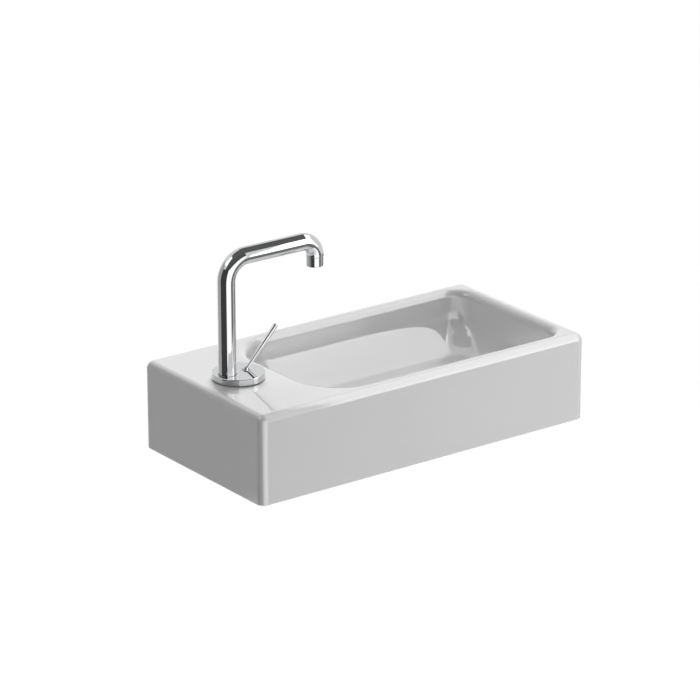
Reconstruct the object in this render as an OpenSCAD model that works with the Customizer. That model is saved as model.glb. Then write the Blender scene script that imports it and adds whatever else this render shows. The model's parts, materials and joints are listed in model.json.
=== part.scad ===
// Small wall-hung ceramic hand basin with a single-lever tap on its left-hand deck.
// X runs along the wall to the right, Y runs towards the wall and Z is up, in millimetres.
// The origin lies on the back face, midway between the two wall bolt holes.
// The bowl is one loft of rounded rectangles, each side with its own fillet, worked out
// from the wall's rim rounding, its draft and its fillet, and used again, thicker, below.

/* [Basin] */
// Width of the basin along the wall
basin_w = 500; // [460:1:600]
// Depth of the basin out from the wall
basin_d = 250; // [230:1:320]
// Height of the basin's outer walls
basin_h = 115; // [108:1:150]
// Radius of the outer edges and upright corners
edge_r = 10; // [5:0.5:12]
// Thickness of the outer walls
skirt_t = 12; // [11.5:0.5:14]
// Thickness of the tap deck
deck_t = 11; // [9:0.5:14]

/* [Bowl] */
// Distance from the outer faces to the bowl's front, back and right walls
rim_w = 21; // [21:0.5:30]
// Distance from the outer left face to the bowl's left wall
bowl_left = 112; // [108:1:130]
// Depth of the bowl at the foot of its walls
bowl_depth = 76; // [66:1:80]
// Fall of the bowl's floor from its edge to the waste
floor_fall = 3; // [1:0.5:5]
// Radius of the rim's inner rounding
rim_r = 10; // [6:0.5:10]
// Draft of the bowl's walls in degrees
draft = 3; // [1:0.5:6]
// Radius between the back or front wall and the floor
fillet_y = 62; // [45:1:64]
// Radius between the left wall and the floor
fillet_left = 58; // [40:1:62]
// Radius between the right wall and the floor
fillet_right = 40; // [30:1:60]
// Plan radius of the bowl's left corners
corner_left = 62; // [30:1:80]
// Plan radius of the bowl's right corners
corner_right = 26; // [16:1:50]
// Thickness of the bowl's own wall
bowl_t = 10; // [9.5:0.5:12]

/* [Wall fixing] */
// Distance between the wall bolt holes
bolt_gap = 280; // [180:1:320]
// Depth of the bolt holes below the rim
bolt_drop = 78; // [70:1:84]
// Radius of the bolt holes
bolt_r = 7; // [5:0.5:8]

/* [Tap base] */
// Distance of the tap's centre from the outer left face
tap_inset = 57; // [50:0.5:62]
// Distance of the tap's centre from the front face
tap_front = 127; // [100:1:150]
// Radius of the round base
base_r = 32.5; // [31:0.5:36]
// Thickness of the round base
base_h = 8; // [7:0.5:12]
// Bevel of the base's upper edge
base_bevel = 0.8; // [0.3:0.1:1.5]
// Thickness of the seal below the base
base_seal_t = 1; // [0.5:0.1:2]
// Radius of the valve body that goes through the deck
valve_r = 26; // [25.5:0.1:27]
// Length of the valve body below the deck's surface
valve_len = 58; // [56:1:70]
// Radial play of the valve body in its hole
valve_play = 1; // [0.5:0.1:2]

/* [Spout] */
// Distance of the spout's axis left of the base's centre
spout_off = 16.5; // [16:0.1:17]
// Outer radius of the spout tube
spout_r = 11; // [10:0.1:12]
// Wall of the spout tube
spout_wall = 1.5; // [1:0.1:2]
// Height of the level run's centre line above the deck
spout_rise = 155.5; // [120:0.5:220]
// Distance from the riser's axis to the outlet's axis
spout_reach = 132; // [100:1:150]
// Bend radius over the riser
bend_rise = 29; // [20:0.5:40]
// Bend radius over the outlet
bend_out = 20; // [18:0.5:24]
// Straight length of the tube between its outlet bend and the aerator
outlet_leg = 1; // [1:0.1:40]
// Depth of the spout's seat in the base
seat_depth = 2.5; // [1.5:0.1:3]
// Radial play round the tube's foot in its seat
seat_play = 0.6; // [0.4:0.1:1]
// Radius of the spigot that turns in the valve body
spigot_r = 7; // [6.5:0.1:7.4]
// Radial running play of the spigot
spigot_play = 0.05; // [0.02:0.01:0.1]
// Length of the spigot below the deck's surface
spigot_len = 32; // [30:1:34]
// Swing of the spout to each side in degrees
spout_swing = 50; // [10:1:55]

/* [Outlet] */
// Outer radius of the aerator's housing
aerator_r = 10.6; // [10:0.1:11]
// Height of the aerator's housing below the tube
aerator_h = 12.5; // [10:0.1:15]
// Radius of the jet holes
jet_r = 0.7; // [0.5:0.1:0.8]

/* [Lever] */
// Distance of the lever's foot right of the base's centre
lever_off = 10.5; // [10:0.1:11]
// Length of the lever from its ball's centre to its tip
lever_len = 68.5; // [50:1:90]
// Radius of the lever at its tip
lever_tip_r = 3.4; // [2.5:0.1:4]
// Radius of the lever at its foot
lever_foot_r = 2.1; // [1.6:0.1:2.3]
// Lean of the closed lever from upright in degrees
lever_lean = 43; // [35:1:48]
// Radius of the lever's ball
ball_r = 4.4; // [4.2:0.1:4.6]
// Depth of the ball's centre below the base's top
ball_sink = 1; // [0.6:0.1:1.4]
// Radius of the rotor's neck
neck_r = 7; // [6.8:0.1:7.4]
// Length of the ball's tail
tail_len = 10; // [8:0.5:10.5]
// Radius of the cartridge
cartridge_r = 12.5; // [12:0.1:13]
// Lift of the lever in degrees
lever_lift = 25; // [15:1:26]
// Clearance between parts that move against each other
gap = 0.35; // [0.3:0.05:0.5]

/* [Waste] */
// Distance of the waste's centre from the outer right face
waste_inset = 205; // [180:1:230]
// Radius of the waste hole
waste_hole_r = 22.5; // [21.5:0.1:24]
// Radius of the waste's flange
flange_r = 31.5; // [29:0.5:34]
// Thickness of the waste's flange
flange_t = 2; // [1.5:0.1:3]
// Outer radius of the waste's thread
thread_r = 20.95; // [20:0.05:21]
// Inner radius of the waste
waste_bore = 17.5; // [16:0.1:18]
// Length of the waste from its flange to its lower end
waste_len = 66; // [60:1:80]
// Radius of the plug's cap
plug_r = 29; // [25:0.5:30]
// Lift of the plug
plug_lift = 8; // [5:0.5:9]

/* [Hidden] */
eps = 0.01;
// Radial clearance of pieces that are screwed, pressed or brazed together
fit = 0.05;
// Radial clearance of flat rings round a thread
ring_play = 0.3;

// Levels and places of the basin, from its bolt holes
rim_z = bolt_drop;
foot_z = rim_z - basin_h;
left_x = -basin_w / 2;
front_y = -basin_d;
wall_l = left_x + bowl_left;
wall_r = basin_w / 2 - rim_w;
wall_f = front_y + rim_w;
wall_b = -rim_w;
floor_z = rim_z - bowl_depth;
drain_z = floor_z - floor_fall;
waste_x = basin_w / 2 - waste_inset;
waste_y = (wall_f + wall_b) / 2;
waste_at = [waste_x, waste_y, 0];
inner_corner = 6;

// Levels and places of the tap, from the deck
tap_at = [left_x + tap_inset, front_y + tap_front, rim_z];
base_top = base_seal_t + base_h;
recess_in = 2;
recess_r = valve_r - recess_in;
recess_h = 3;
recess_z = base_seal_t + recess_h;
spout_at = tap_at - [spout_off, 0, 0];
seat_r = spout_r + seat_play;
seat_z = base_top - seat_depth;
tube_bore = spout_r - spout_wall;
slide_t = 0.8;
tube_z = seat_z + slide_t + gap;
braze_len = 12;
socket_r = spigot_r + spigot_play;
socket_floor = 2;
socket_z = -spigot_len - socket_floor;
spigot_wall = 2;
spigot_bore = spigot_r - spigot_wall;
groove_w = 2.4;
groove_d = 1.8;
seal_down = 3;
seal_pitch = 9;
stop_up = 3;
stop_z = stop_up - spigot_len;
stop_w = 4.8;
stop_d = 1.2;
stop_r = 2;
stop_slack = 0.4;
key_r = 1.15;
key_deep = 1.6;
cord_play = 0.02;
seam = 0.3;
tube_end = spout_rise - bend_out - outlet_leg;
outlet_z = tube_end - seam - aerator_h;
collar_h = outlet_leg + seam;
aerator_bevel = 0.6;
aerator_shoulder = 2;
aerator_seal_t = 1.7;
aerator_seal_w = 2.1;
aerator_wall = 2.4;
insert_r = aerator_r - aerator_wall;
insert_up = 0.6;
insert_wall = 1.2;
insert_floor = 2;
insert_h = aerator_h - aerator_shoulder - aerator_seal_t - insert_up - 2 * fit;
jet_pitch = 3.1;
lever_at = tap_at + [lever_off, 0, 0];
ball_z = base_top - ball_sink;
lip_t = 1.6;
lip_r = ball_r + gap;
tail_r = 1.5;
rod_deep = 2.4;
neck_top = base_top - lip_t - gap;
nut_sink = 2;
nut_top = recess_z - nut_sink;
nut_t = 6;
nut_z = nut_top - nut_t;
wrench_w = 2.5;
wrench_d = 2;
cartridge_h = 28;
cartridge_z = nut_z - cartridge_h;
cartridge_wall = 2.5;
cartridge_bore = cartridge_r - cartridge_wall;
cartridge_floor = 3;
fixed_t = 4;
turning_t = 3.6;
rotor_r = cartridge_bore - gap;
fixed_z = cartridge_z + cartridge_floor;
turning_z = fixed_z + fixed_t + gap;
rotor_z = turning_z + turning_t;
port_y = 6.5;
port_r = 2;
outlet_x = -6.5;
mix_r = 4.5;
mix_x = -1;
mix_deep = 1.6;
inlet_y = 7.5;
inlet_r = 5;
inlet_deep = 16;
passage_r = 2.5;
channel_drop = 6;
channel_z = cartridge_z - channel_drop;
channel_r = 3;
clamp_seal_t = 2;
clamp_washer_t = 2;
clamp_nut_t = 10;
clamp_w = 8;
clamp_r = valve_r + clamp_w;
notch_w = 5;
notch_d = 2.5;

// Levels of the waste, from the frame's origin
flange_sink = 2;
flange_play = 1;
flange_bevel = 1.2;
drain_r = flange_r + flange_play;
seat_waste_z = drain_z - flange_sink;
gasket_t = 1;
flange_z = seat_waste_z + gasket_t;
boss_w = 3;
boss_r = flange_r + boss_w;
boss_t = 11;
boss_z = seat_waste_z - boss_t;
waste_end = flange_z - waste_len;
seal_t = 3;
washer_t = 1.5;
waste_nut_t = 9;
waste_nut_z = boss_z - seal_t - washer_t - waste_nut_t;
relief_w = 2;
relief_d = 0.8;
spider_up = 26;
spider_z = waste_end + spider_up;
spider_t = 4;
arm_w = 3.5;
cage_r = 8;
cage_guide = 12;
cage_len = plug_lift + cage_guide;
cage_floor = 3;
hub_w = 2;
stem_r = 5;
stem_play = 0.09;
stem_collar_w = 1.5;
stem_collar_t = 3;
plug_h = 5;
dome_h = 3;
plug_seal_top = 0.4;
seat_fall = 3;
seat_flare = 3.5;
boss_h = 2.2;
cap_boss_in = 4.6;
cap_boss_r = waste_bore - cap_boss_in;
plug_z = flange_z + flange_t + gap;

// Inset of a wall's surface from the rim's edge at one depth, for a wall with fillet radius r
// that ends in a floor at depth deep. The rim rounds over, the wall drafts, the fillet lands.
function rim_depth() = rim_r * (1 - sin(draft));
function wall_start(r, deep) = deep - r * (1 - sin(draft));
function wall_inset(d, r, deep) =
    d < rim_depth() ? rim_r * sin(acos(1 - max(0, d) / rim_r))
    : d < wall_start(r, deep) ? rim_r * cos(draft) + (d - rim_depth()) * tan(draft)
    : rim_r * cos(draft) + (wall_start(r, deep) - rim_depth()) * tan(draft)
      + r * (cos(draft) - cos(asin(min(1, (d - deep + r) / r))));

// Points of one rounded rectangle, from its four edges and its corner radii, n steps a corner
function ring(l, r, f, b, rl, rr, z, n) = [
    for (c = [0:3]) let (
        cr = (c == 0 || c == 3) ? rr : rl,
        cx = (c == 0 || c == 3) ? r - cr : l + cr,
        cy = (c < 2) ? b - cr : f + cr
    ) for (i = [0:n]) let (a = c * 90 + i * 90 / n) [cx + cr * cos(a), cy + cr * sin(a), z]
];

// One level of the bowl at depth d, with its walls moved out by t for the outer skin
function bowl_ring(d, t, n) = let (
    deep = bowl_depth + t,
    iy = wall_inset(d, fillet_y + t, deep) - rim_r - t,
    il = wall_inset(d, fillet_left + t, deep) - rim_r - t,
    ir = wall_inset(d, fillet_right + t, deep) - rim_r - t,
    half = (wall_b - wall_f) / 2 - iy - 0.5,
    rl = min(half, corner_left + t + (il < -t ? -il - t : 0.1 * (il + t))),
    rr = min(half, corner_right + t + (ir < -t ? -ir - t : 0.5 * (ir + t)))
) ring(wall_l + il, wall_r - ir, wall_f + iy, wall_b - iy, rl, rr, rim_z - d, n);

// A closed skin through rings that all have the same number of points
module loft(rings) {
    n = len(rings[0]);
    m = len(rings);
    points = [for (r = rings) for (p = r) p];
    faces = concat(
        [[for (i = [n - 1:-1:0]) i]],
        [for (j = [0:m - 2], i = [0:n - 1]) let (k = (i + 1) % n)
            [j * n + i, j * n + k, (j + 1) * n + k]],
        [for (j = [0:m - 2], i = [0:n - 1]) let (k = (i + 1) % n)
            [j * n + i, (j + 1) * n + k, (j + 1) * n + i]],
        [[for (i = [0:n - 1]) (m - 1) * n + i]]
    );
    polyhedron(points, faces, convexity = 8);
}

// The hollow of the bowl, from just above the deck to the recess of the waste
module bowl_hollow() {
    n = 8;
    lands = bowl_ring(bowl_depth, 0, n);
    drain = [for (p = lands) let (a = atan2(p[1] - waste_y, p[0] - waste_x))
        [waste_x + flange_r * cos(a), waste_y + flange_r * sin(a), drain_z]];
    loft(concat(
        [[for (p = bowl_ring(0, 0, n)) p + [0, 0, 1]]],
        [for (t = [14:15:89]) bowl_ring(rim_r * (1 - cos(t)), 0, n)],
        [for (a = [draft + 4:8:86]) bowl_ring(bowl_depth - fillet_y * (1 - sin(a)), 0, n)],
        [lands],
        [(lands + drain) / 2 + [for (p = lands) [0, 0, -floor_fall * 0.12]]],
        [drain]
    ));
}

// The bowl's outer skin, below the deck
module bowl_skin() {
    n = 5;
    deep = bowl_depth + bowl_t;
    loft(concat(
        [for (d = [deck_t * 0.6, rim_r + 4]) bowl_ring(d, bowl_t, n)],
        [for (a = [10:16:86]) bowl_ring(deep - (fillet_y + bowl_t) * (1 - sin(a)), bowl_t, n)],
        [bowl_ring(deep, bowl_t, n)]
    ));
}

// A rectangle with rounded corners, from its left front corner
module plan(w, d, r) {
    translate([r, 0]) square([w - 2 * r, d]);
    translate([0, r]) square([w, d - 2 * r]);
    for (x = [r, w - r], y = [r, d - r]) translate([x, y]) circle(r = r, $fn = 64);
}

// A block with rounded upright corners and a rounded upper edge
module soft_block(w, d, h, r) {
    linear_extrude(h - r) plan(w, d, r);
    translate([r, r, h - r - eps]) cube([w - 2 * r, d - 2 * r, r + eps]);
    translate([0, 0, h - r]) intersection() {
        union() {
            for (y = [r, d - r]) translate([r, y, 0]) rotate([0, 90, 0])
                cylinder(r = r, h = w - 2 * r, $fn = 64);
            for (x = [r, w - r]) translate([x, r, 0]) rotate([-90, 0, 0])
                cylinder(r = r, h = d - 2 * r, $fn = 64);
            for (x = [r, w - r], y = [r, d - r]) translate([x, y, 0]) sphere(r = r, $fn = 64);
        }
        translate([-1, -1, -eps]) cube([w + 2, d + 2, r + 1]);
    }
}

// A flat ring between two radii
module flat_ring(inner, outer, t) {
    difference() {
        cylinder(r = outer, h = t, $fn = 96);
        translate([0, 0, -1]) cylinder(r = inner, h = t + 2, $fn = 96);
    }
}

// A round seal, from the radius of its middle line and its cord's radius
module round_seal(mid, cord) {
    rotate_extrude($fn = 64) translate([mid, 0]) circle(r = cord, $fn = 24);
}

module basin_body() {
    color("white") difference() {
        union() {
            difference() {
                translate([left_x, front_y, foot_z]) soft_block(basin_w, basin_d, basin_h, edge_r);
                translate([left_x + skirt_t, front_y + skirt_t, foot_z - 1])
                    linear_extrude(basin_h - deck_t + 1)
                        plan(basin_w - 2 * skirt_t, basin_d - 2 * skirt_t, inner_corner);
            }
            bowl_skin();
            translate([waste_x, waste_y, boss_z]) cylinder(r = boss_r, h = drain_z - boss_z - 1, $fn = 96);
        }
        bowl_hollow();
        translate([waste_x, waste_y, seat_waste_z]) cylinder(r = drain_r, h = flange_sink + 1, $fn = 96);
        translate([waste_x, waste_y, boss_z - 1]) cylinder(r = waste_hole_r, h = boss_t + 3, $fn = 96);
        translate(tap_at - [0, 0, 1.5 * deck_t])
            cylinder(r = valve_r + valve_play, h = 2 * deck_t, $fn = 96);
        for (s = [-1, 1]) translate([s * bolt_gap / 2, 1, 0])
            rotate([90, 0, 0]) cylinder(r = bolt_r, h = skirt_t + 2, $fn = 48);
    }
}

// The round base: a bevelled disc with the spout's seat, the lever's opening and a spigot recess
module tap_base() {
    color("silver") difference() {
        translate(tap_at + [0, 0, base_seal_t]) rotate_extrude($fn = 128)
            polygon([
                [0, 0], [base_r, 0], [base_r, base_h - base_bevel],
                [base_r - base_bevel, base_h], [0, base_h]
            ]);
        translate(tap_at + [0, 0, base_seal_t - 1])
            cylinder(r = recess_r + fit, h = recess_h + 1, $fn = 96);
        translate(spout_at + [0, 0, seat_z]) cylinder(r = seat_r, h = seat_depth + 1, $fn = 64);
        translate(spout_at) cylinder(r = spigot_r + gap, h = base_top, $fn = 64);
        translate(lever_at) cylinder(r = neck_r + gap, h = base_top - lip_t, $fn = 64);
        translate(lever_at) cylinder(r = lip_r, h = base_top + 1, $fn = 64);
    }
}

module base_seal() {
    color("dimgray") translate(tap_at) flat_ring(valve_r + valve_play, base_r - 2, base_seal_t);
}

// The valve body: spout socket, cartridge chamber, two threaded inlets and the channel between
module valve_body() {
    color("darkgoldenrod") difference() {
        translate(tap_at) union() {
            translate([0, 0, -valve_len]) cylinder(r = valve_r, h = valve_len + base_seal_t, $fn = 96);
            cylinder(r = recess_r, h = recess_z, $fn = 96);
        }
        translate(spout_at + [0, 0, socket_z])
            cylinder(r = socket_r, h = recess_z - socket_z + 1, $fn = 64);
        translate(lever_at + [0, 0, cartridge_z])
            cylinder(r = cartridge_r, h = recess_z - cartridge_z + 1, $fn = 64);
        for (s = [-1, 1]) translate(lever_at + [0, s * inlet_y, -valve_len]) {
            translate([0, 0, -1]) cylinder(r = inlet_r, h = inlet_deep + 1, $fn = 48);
            cylinder(r = passage_r, h = valve_len + cartridge_z + 1, $fn = 32);
        }
        translate(lever_at + [outlet_x, 0, channel_z])
            cylinder(r = port_r, h = cartridge_z - channel_z + 1, $fn = 32);
        translate(spout_at + [0, 0, channel_z])
            cylinder(r = channel_r, h = socket_z - channel_z + 1, $fn = 32);
        translate(spout_at + [0, 0, channel_z]) rotate([0, 90, 0])
            cylinder(r = channel_r, h = spout_off + lever_off + outlet_x, $fn = 32);
        translate(spout_at + [0, 0, stop_z]) rotate([0, -90, 0]) cylinder(r = stop_r, h = base_r, $fn = 32);
    }
}

module clamp_seal() {
    color("dimgray") translate(tap_at - [0, 0, deck_t + clamp_seal_t])
        flat_ring(valve_r + valve_play, clamp_r, clamp_seal_t);
}

module clamp_washer() {
    color("silver") translate(tap_at - [0, 0, deck_t + clamp_seal_t + clamp_washer_t])
        flat_ring(valve_r + valve_play / 2, clamp_r, clamp_washer_t);
}

// The ring nut, with notches for a hook spanner
module clamp_nut() {
    color("darkgoldenrod") translate(tap_at - [0, 0, deck_t + clamp_seal_t + clamp_washer_t + clamp_nut_t])
        difference() {
            flat_ring(valve_r + fit, clamp_r - 1, clamp_nut_t);
            for (a = [0:45:315]) rotate(a) translate([clamp_r - 1 - notch_d, -notch_w / 2, -1])
                cube([2 * notch_d, notch_w, clamp_nut_t * 0.6 + 1]);
        }
}

// A tube along the spout's route: riser, bend, level run, bend and outlet
module spout_route(r) {
    run = spout_reach - bend_rise - bend_out;
    translate([0, 0, tube_z]) cylinder(r = r, h = spout_rise - bend_rise - tube_z, $fn = 64);
    translate([bend_rise, 0, spout_rise - bend_rise]) rotate([90, 0, 180])
        rotate_extrude(angle = 90, $fn = 96) translate([bend_rise, 0]) circle(r = r, $fn = 64);
    translate([bend_rise, 0, spout_rise]) rotate([0, 90, 0]) cylinder(r = r, h = run, $fn = 64);
    translate([spout_reach - bend_out, 0, spout_rise - bend_out]) rotate([90, 0, 0])
        rotate_extrude(angle = 90, $fn = 96) translate([bend_out, 0]) circle(r = r, $fn = 64);
    translate([spout_reach, 0, tube_end]) cylinder(r = r, h = spout_rise - bend_out - tube_end, $fn = 64);
}

module spout_tube() {
    color("silver") translate(spout_at) difference() {
        spout_route(spout_r);
        spout_route(tube_bore);
        translate([0, 0, tube_z - 1]) cylinder(r = tube_bore, h = 2, $fn = 64);
        translate([spout_reach, 0, tube_end - 1]) cylinder(r = tube_bore, h = 2, $fn = 64);
    }
}

// The turned foot inside the tube, its bore, two seal grooves and the groove that limits the swing
module spout_spigot() {
    reach = stop_r + stop_slack;
    slack = asin(reach / spigot_r);
    sweep = 2 * (spout_swing + slack);
    color("darkgoldenrod") translate(spout_at) difference() {
        union() {
            translate([0, 0, tube_z]) cylinder(r = tube_bore - fit, h = braze_len, $fn = 64);
            translate([0, 0, -spigot_len]) cylinder(r = spigot_r, h = spigot_len + tube_z + 1, $fn = 64);
        }
        translate([0, 0, -spigot_len - 1])
            cylinder(r = spigot_bore, h = spigot_len + tube_z + braze_len + 2, $fn = 64);
        for (z = [-seal_down, -seal_down - seal_pitch]) translate([0, 0, z - groove_w / 2])
            flat_ring(spigot_r - groove_d, spigot_r + 1, groove_w);
        translate([0, 0, stop_z]) rotate(180 - sweep / 2) rotate_extrude(angle = sweep, $fn = 96)
            translate([spigot_r - stop_d, -stop_w / 2]) square([stop_d + 1, stop_w]);
    }
}

module spout_slide_ring() {
    color("ivory") translate(spout_at + [0, 0, seat_z]) flat_ring(spigot_r + gap, spout_r, slide_t);
}

module spout_seal(i) {
    cord = (groove_d + spigot_play - 3 * cord_play) / 2;
    color("black") translate(spout_at - [0, 0, seal_down + i * seal_pitch])
        round_seal(spigot_r - groove_d + cord_play + cord, cord);
}

module spout_seal_upper() { spout_seal(0); }

module spout_seal_lower() { spout_seal(1); }

// The screw whose tip runs in the spigot's groove
module spout_stop_screw() {
    tip = spigot_r - stop_d + gap;
    long = valve_r - spout_off - tip - 2 * fit;
    color("gray") translate(spout_at + [-tip, 0, stop_z]) rotate([0, -90, 0]) difference() {
        cylinder(r = stop_r - fit, h = long, $fn = 32);
        translate([0, 0, long - key_deep]) cylinder(r = key_r, h = key_deep + 1, $fn = 6);
    }
}

// The aerator's housing: a sleeve with a threaded collar that goes up into the tube
module aerator_housing() {
    collar_r = tube_bore - fit;
    color("silver") translate(spout_at + [spout_reach, 0, outlet_z]) difference() {
        rotate_extrude($fn = 96) polygon([
            [0, 0], [aerator_r - aerator_bevel, 0], [aerator_r, aerator_bevel], [aerator_r, aerator_h],
            [collar_r, aerator_h], [collar_r, aerator_h + collar_h], [0, aerator_h + collar_h]
        ]);
        translate([0, 0, -1]) cylinder(r = insert_r - 1, h = aerator_h + collar_h + 2, $fn = 64);
        translate([0, 0, -1]) cylinder(r = insert_r, h = aerator_h - aerator_shoulder + 1, $fn = 64);
    }
}

// The jet plate and its cup, with rings of holes
module aerator_insert() {
    r = insert_r - fit;
    color("whitesmoke") translate(spout_at + [spout_reach, 0, outlet_z + insert_up]) difference() {
        cylinder(r = r, h = insert_h, $fn = 64);
        translate([0, 0, insert_floor]) cylinder(r = r - insert_wall, h = insert_h, $fn = 64);
        for (k = [0:2], i = [0:max(1, 6 * k) - 1]) rotate(i * 60 / max(1, k))
            translate([k * jet_pitch, 0, -1]) cylinder(r = jet_r, h = insert_floor + 2, $fn = 16);
    }
}

module aerator_seal() {
    color("black") translate(spout_at + [spout_reach, 0, outlet_z + insert_up + insert_h])
        flat_ring(insert_r - 2 * fit - aerator_seal_w, insert_r - 2 * fit, aerator_seal_t);
}

// The cartridge: a cup with three ports in its floor
module cartridge_body() {
    color("whitesmoke") translate(lever_at + [0, 0, cartridge_z]) difference() {
        cylinder(r = cartridge_r - fit, h = cartridge_h, $fn = 64);
        translate([0, 0, cartridge_floor]) cylinder(r = cartridge_bore, h = cartridge_h, $fn = 64);
        valve_ports(cartridge_floor);
    }
}

// The three ports that go through the cartridge's floor and its fixed disc, for a thickness t
module valve_ports(t) {
    for (at = [[0, -port_y], [0, port_y], [outlet_x, 0]])
        translate([at[0], at[1], -1]) cylinder(r = port_r, h = t + 2, $fn = 32);
}

// The nut that holds the cartridge down, with a wrench slot on each side
module cartridge_nut() {
    color("darkgoldenrod") translate(lever_at + [0, 0, nut_z]) difference() {
        flat_ring(neck_r + gap, cartridge_r - fit, nut_t);
        for (a = [45:90:315]) rotate(a) translate([neck_r + 2, -wrench_w / 2, nut_t - wrench_d])
            cube([cartridge_r, wrench_w, wrench_d + 1]);
    }
}

module fixed_disc() {
    color("snow") translate(lever_at + [0, 0, fixed_z]) difference() {
        cylinder(r = cartridge_bore - fit, h = fixed_t, $fn = 64);
        valve_ports(fixed_t);
    }
}

// The turning disc, with the chamber in its underside where hot and cold meet
module turning_disc() {
    color("snow") translate(lever_at + [0, 0, turning_z]) difference() {
        cylinder(r = rotor_r, h = turning_t, $fn = 64);
        translate([mix_x, 0, -1]) cylinder(r = mix_r, h = mix_deep + 1, $fn = 48);
    }
}

// The rotor: a flange held below the nut, a neck up to the base's lip, a cup and a slot for the tail
module cartridge_rotor() {
    swing = tail_len * sin(lever_lift) + tail_r + gap;
    color("ivory") translate(lever_at) difference() {
        union() {
            translate([0, 0, rotor_z]) cylinder(r = rotor_r, h = nut_z - gap - rotor_z, $fn = 64);
            translate([0, 0, rotor_z]) cylinder(r = neck_r, h = neck_top - rotor_z, $fn = 64);
        }
        translate([0, 0, ball_z]) sphere(r = ball_r + gap, $fn = 64);
        translate([-tail_r - gap, -tail_r - gap, ball_z - tail_len - gap])
            cube([swing + tail_r + gap, 2 * (tail_r + gap), tail_len]);
    }
}

// The ball on which the lever tilts, with its socket for the rod and the tail that drives the rotor
module lever_ball() {
    color("silver") translate(lever_at + [0, 0, ball_z]) difference() {
        union() {
            sphere(r = ball_r, $fn = 64);
            translate([0, 0, -tail_len]) cylinder(r = tail_r, h = tail_len, $fn = 32);
        }
        rotate([0, lever_lean, 0]) translate([0, 0, ball_r - rod_deep])
            cylinder(r = lever_foot_r, h = rod_deep + 1, $fn = 48);
    }
}

module lever_rod() {
    color("silver") translate(lever_at + [0, 0, ball_z]) rotate([0, lever_lean, 0]) {
        translate([0, 0, ball_r - rod_deep + fit])
            cylinder(r = lever_foot_r - fit, h = rod_deep + 1, $fn = 48);
        translate([0, 0, ball_r]) cylinder(r1 = lever_foot_r, r2 = lever_tip_r,
            h = lever_len - lever_tip_r - ball_r, $fn = 48);
        translate([0, 0, lever_len - lever_tip_r]) sphere(r = lever_tip_r, $fn = 48);
    }
}

// The waste: a dished flange, a threaded tube, and a cross below that carries the plug's cage.
// A groove under the nut parts the nut's thread from the trap's.
module waste_body() {
    color("silver") translate(waste_at) {
        difference() {
            translate([0, 0, waste_end]) union() {
                cylinder(r = thread_r, h = waste_len + flange_t / 2, $fn = 96);
                translate([0, 0, waste_len]) rotate_extrude($fn = 128) polygon([
                    [0, 0], [flange_r, 0], [flange_r, flange_t - flange_bevel],
                    [flange_r - flange_bevel, flange_t], [0, flange_t]
                ]);
            }
            translate([0, 0, flange_z + flange_t]) rotate_extrude($fn = 96) polygon([
                [0, -waste_len - flange_t - 1], [waste_bore, -waste_len - flange_t - 1],
                [waste_bore, -seat_fall], [waste_bore + seat_flare, 0],
                [waste_bore + seat_flare, 1], [0, 1]
            ]);
            translate([0, 0, waste_nut_z - relief_w])
                flat_ring(thread_r - relief_d, thread_r + 1, relief_w);
        }
        translate([0, 0, spider_z]) linear_extrude(spider_t) difference() {
            union() {
                for (a = [45, 135]) rotate(a) square([2 * waste_bore + 2, arm_w], center = true);
                circle(r = cage_r + hub_w, $fn = 48);
            }
            circle(r = cage_r, $fn = 48);
        }
    }
}

module waste_gasket() {
    color("dimgray") translate(waste_at + [0, 0, seat_waste_z])
        flat_ring(thread_r + ring_play, flange_r - 1, gasket_t);
}

module waste_seal() {
    color("dimgray") translate(waste_at + [0, 0, boss_z - seal_t])
        flat_ring(thread_r + ring_play, boss_r - 2, seal_t);
}

module waste_washer() {
    color("silver") translate(waste_at + [0, 0, boss_z - seal_t - washer_t])
        flat_ring(thread_r + ring_play, boss_r - 2, washer_t);
}

// The nut below the basin, six-sided with a round collar
module waste_nut() {
    color("darkgoldenrod") translate(waste_at + [0, 0, waste_nut_z]) difference() {
        union() {
            cylinder(r = boss_r - 3, h = waste_nut_t - 2, $fn = 6);
            cylinder(r = boss_r - 6, h = waste_nut_t, $fn = 96);
        }
        translate([0, 0, -1]) cylinder(r = thread_r + fit, h = waste_nut_t + 2, $fn = 96);
    }
}

// The cage that the plug's stem slides in
module plug_cage() {
    color("gray") translate(waste_at + [0, 0, spider_z]) difference() {
        union() {
            translate([0, 0, -cage_floor]) cylinder(r = cage_r + hub_w, h = cage_floor, $fn = 48);
            cylinder(r = cage_r - fit, h = cage_len, $fn = 48);
        }
        cylinder(r = stem_r + stem_play, h = cage_len + 1, $fn = 48);
    }
}

module plug_stem() {
    color("silver") translate(waste_at) {
        translate([0, 0, spider_z + gap]) cylinder(r = stem_r, h = plug_z - spider_z - gap, $fn = 48);
        translate([0, 0, spider_z + cage_len + gap])
            cylinder(r = stem_r + stem_collar_w, h = stem_collar_t, $fn = 48);
    }
}

// The plug's seal: a tapered ring round the cap's boss, just off the flange's seat
module plug_seal() {
    slope = seat_flare / seat_fall;
    play = gap * sqrt(1 + slope * slope);
    low = waste_bore + slope * (seat_fall + gap - boss_h) - play;
    high = waste_bore + slope * (seat_fall + gap - plug_seal_top) - play;
    inner = cap_boss_r + fit;
    color("black") translate(waste_at + [0, 0, plug_z]) rotate_extrude($fn = 96)
        polygon([[inner, -boss_h], [low, -boss_h], [high, -plug_seal_top], [inner, -plug_seal_top]]);
}

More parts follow.
